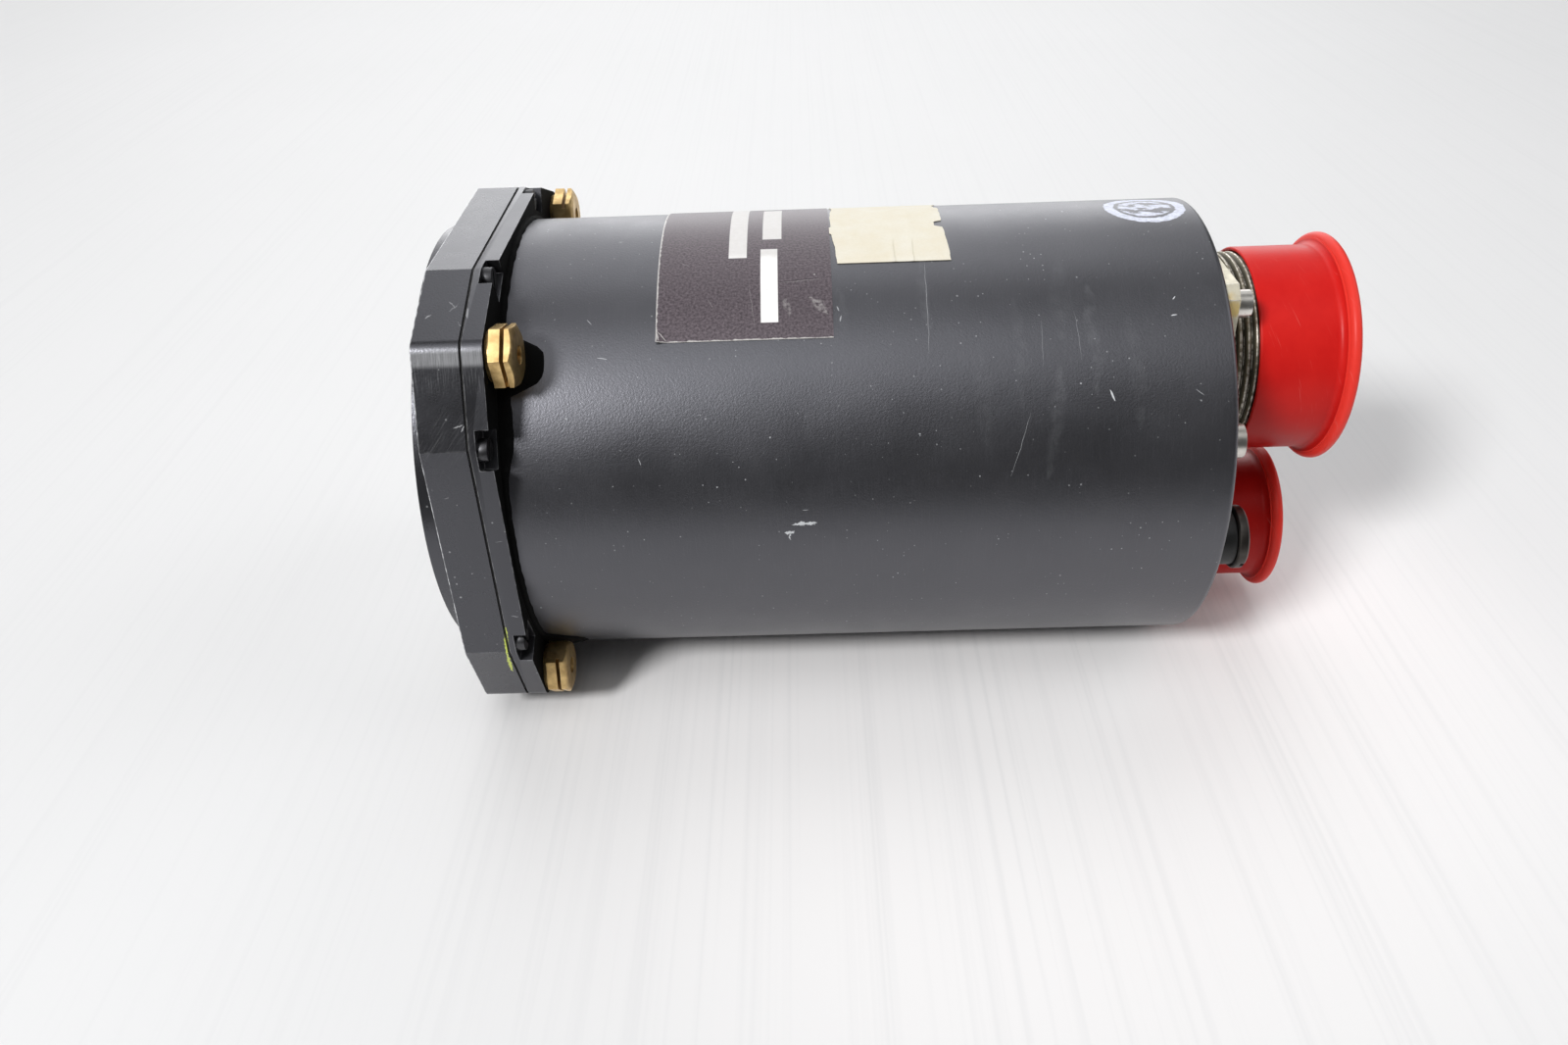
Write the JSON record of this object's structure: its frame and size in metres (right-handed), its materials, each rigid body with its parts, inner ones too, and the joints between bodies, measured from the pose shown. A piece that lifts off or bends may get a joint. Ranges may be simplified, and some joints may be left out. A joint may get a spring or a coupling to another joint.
{
  "type": "radio magnetic indicator",
  "caption": "Round panel instrument with a rotating compass card and bearing pointers behind glass, a flanged bezel, a long cylindrical case and capped rear connectors.",
  "frame": {"origin": "centre of the bezel's mounting face, on the instrument's axis", "axes": "+X rearwards along the axis, away from the dial; +Z to the top of the dial"},
  "size_m": [0.1564, 0.0826, 0.0826],
  "materials": {
    "black_paint": "satin black enamel over aluminium, worn at the corners",
    "case_paint": "satin black enamel over aluminium, with fine scratches",
    "gasket_rubber": "matt black rubber",
    "dark_steel": "dark oxidised steel",
    "bright_steel": "bright nickel-plated steel",
    "nut_brass": "machined brass",
    "nameplate_foil": "dark anodised foil, bare of print",
    "sticker_paper": "aged cream paper, bare of print",
    "window_glass": "clear polished glass",
    "dial_black": "matt black instrument enamel",
    "dial_white": "matt white",
    "pointer_yellow": "matt yellow",
    "pointer_green": "matt green",
    "flag_red": "matt signal red",
    "lamp_glass": "frosted lamp",
    "gear_brass": "cut brass",
    "chassis_aluminium": "machined, clear passivated",
    "synchro_steel": "ground stainless steel",
    "bronze": "sintered bronze",
    "board_laminate": "glass-fibre laminate",
    "component_metal": "tin-plated cans",
    "transformer_iron": "varnished laminations and winding",
    "wire_cover": "white insulated wires, laced",
    "connector_olive": "olive and pale yellow chromate",
    "insert_rubber": "dark green moulded insert",
    "contact_gold": "gold-plated contacts",
    "cap_red": "satin red polythene",
    "valve_black": "black moulding",
    "valve_grey": "dull grey metal"
  },
  "bodies": {
    "housing": {"bezel": "black_paint", "bezel_gasket": "gasket_rubber", "mounting_flange": "black_paint", "bezel_screws": "dark_steel", "mounting_nuts": "nut_brass", "case_can": "case_paint", "nameplate": "nameplate_foil", "inspection_sticker": "sticker_paper", "cover_glass": "window_glass", "glass_gasket": "gasket_rubber", "glass_retaining_ring": "dark_steel", "dial_lamps": "lamp_glass", "dial_mask": "dial_black", "lubber_index": "dial_white", "card_bearings": "bright_steel", "pointer_bearings": "bright_steel", "gear_bushings": "bronze", "flag_meter": "dark_steel", "front_plate": "chassis_aluminium", "middle_plate": "chassis_aluminium", "rear_plate": "chassis_aluminium", "front_posts": "chassis_aluminium", "rear_posts": "chassis_aluminium", "plate_screws": "dark_steel", "pointer_one_synchro": "synchro_steel", "pointer_two_synchro": "synchro_steel", "card_synchro": "synchro_steel", "servo_motor": "synchro_steel", "synchro_screws": "dark_steel", "amplifier_board": "board_laminate", "power_board": "board_laminate", "board_spacers": "chassis_aluminium", "board_components": "component_metal", "transformer": "transformer_iron", "wiring_harness": "wire_cover", "main_connector_shell": "connector_olive", "main_connector_insert": "insert_rubber", "main_connector_pins": "contact_gold", "main_connector_screws": "bright_steel", "small_connector_shell": "connector_olive", "small_connector_insert": "insert_rubber", "small_connector_pins": "contact_gold", "small_connector_nut": "connector_olive", "rear_screws": "bright_steel", "purge_valve_body": "valve_black", "purge_valve_cap": "valve_grey"},
    "compass_card_body": {"compass_card": "dial_black", "card_gear": "gear_brass"},
    "pointer_one_body": {"single_bar_pointer": "pointer_yellow", "pointer_one_shaft": "synchro_steel"},
    "pointer_two_body": {"double_bar_pointer": "pointer_green", "pointer_two_shaft": "synchro_steel"},
    "synchro_two_rotor": {"synchro_two_gear": "gear_brass"},
    "card_synchro_rotor": {"card_synchro_gear": "gear_brass"},
    "idler": {"idler_gear": "gear_brass"},
    "motor_rotor": {"motor_pinion": "gear_brass"},
    "flag": {"warning_flag": "flag_red"},
    "main_cap": {"main_connector_cap": "cap_red"},
    "small_cap": {"small_connector_cap": "cap_red"}
  },
  "joints": [
    {"name": "card_turn", "type": "hinge", "parent": "housing", "child": "compass_card_body", "pos_m": [0, 0, 0], "axis": [1, 0, 0], "continuous": true},
    {"name": "pointer_one_turn", "type": "hinge", "parent": "housing", "child": "pointer_one_body", "pos_m": [0, 0, 0], "axis": [1, 0, 0], "continuous": true},
    {"name": "pointer_two_turn", "type": "hinge", "parent": "housing", "child": "pointer_two_body", "pos_m": [0, 0, 0], "axis": [1, 0, 0], "continuous": true},
    {"name": "synchro_two_turn", "type": "hinge", "parent": "housing", "child": "synchro_two_rotor", "pos_m": [0, 0, 0.022], "axis": [1, 0, 0], "continuous": true},
    {"name": "card_synchro_turn", "type": "hinge", "parent": "housing", "child": "card_synchro_rotor", "pos_m": [0, -0.01905, -0.011], "axis": [1, 0, 0], "continuous": true},
    {"name": "idler_turn", "type": "hinge", "parent": "housing", "child": "idler", "pos_m": [0, 0.00558, -0.01376], "axis": [1, 0, 0], "continuous": true},
    {"name": "motor_turn", "type": "hinge", "parent": "housing", "child": "motor_rotor", "pos_m": [0, 0.01905, -0.011], "axis": [1, 0, 0], "continuous": true},
    {"name": "flag_swing", "type": "hinge", "parent": "housing", "child": "flag", "pos_m": [0, -0.02108, 0.02513], "axis": [1, 0, 0], "range_deg": [-62, 0], "stiffness_Nm_per_rad": 0.00002, "springref_deg": 11.46},
    {"name": "main_cap_pull", "type": "slide", "parent": "housing", "child": "main_cap", "axis": [1, 0, 0], "range_m": [0, 0.04]},
    {"name": "small_cap_pull", "type": "slide", "parent": "housing", "child": "small_cap", "axis": [1, 0, 0], "range_m": [0, 0.04]}
  ],
  "couplings": [
    {"joint": "synchro_two_turn", "follows": "pointer_two_turn", "ratio": -1},
    {"joint": "card_synchro_turn", "follows": "card_turn", "ratio": -1},
    {"joint": "idler_turn", "follows": "card_turn", "ratio": -2.8571},
    {"joint": "motor_turn", "follows": "card_turn", "ratio": 7.3469}
  ]
}
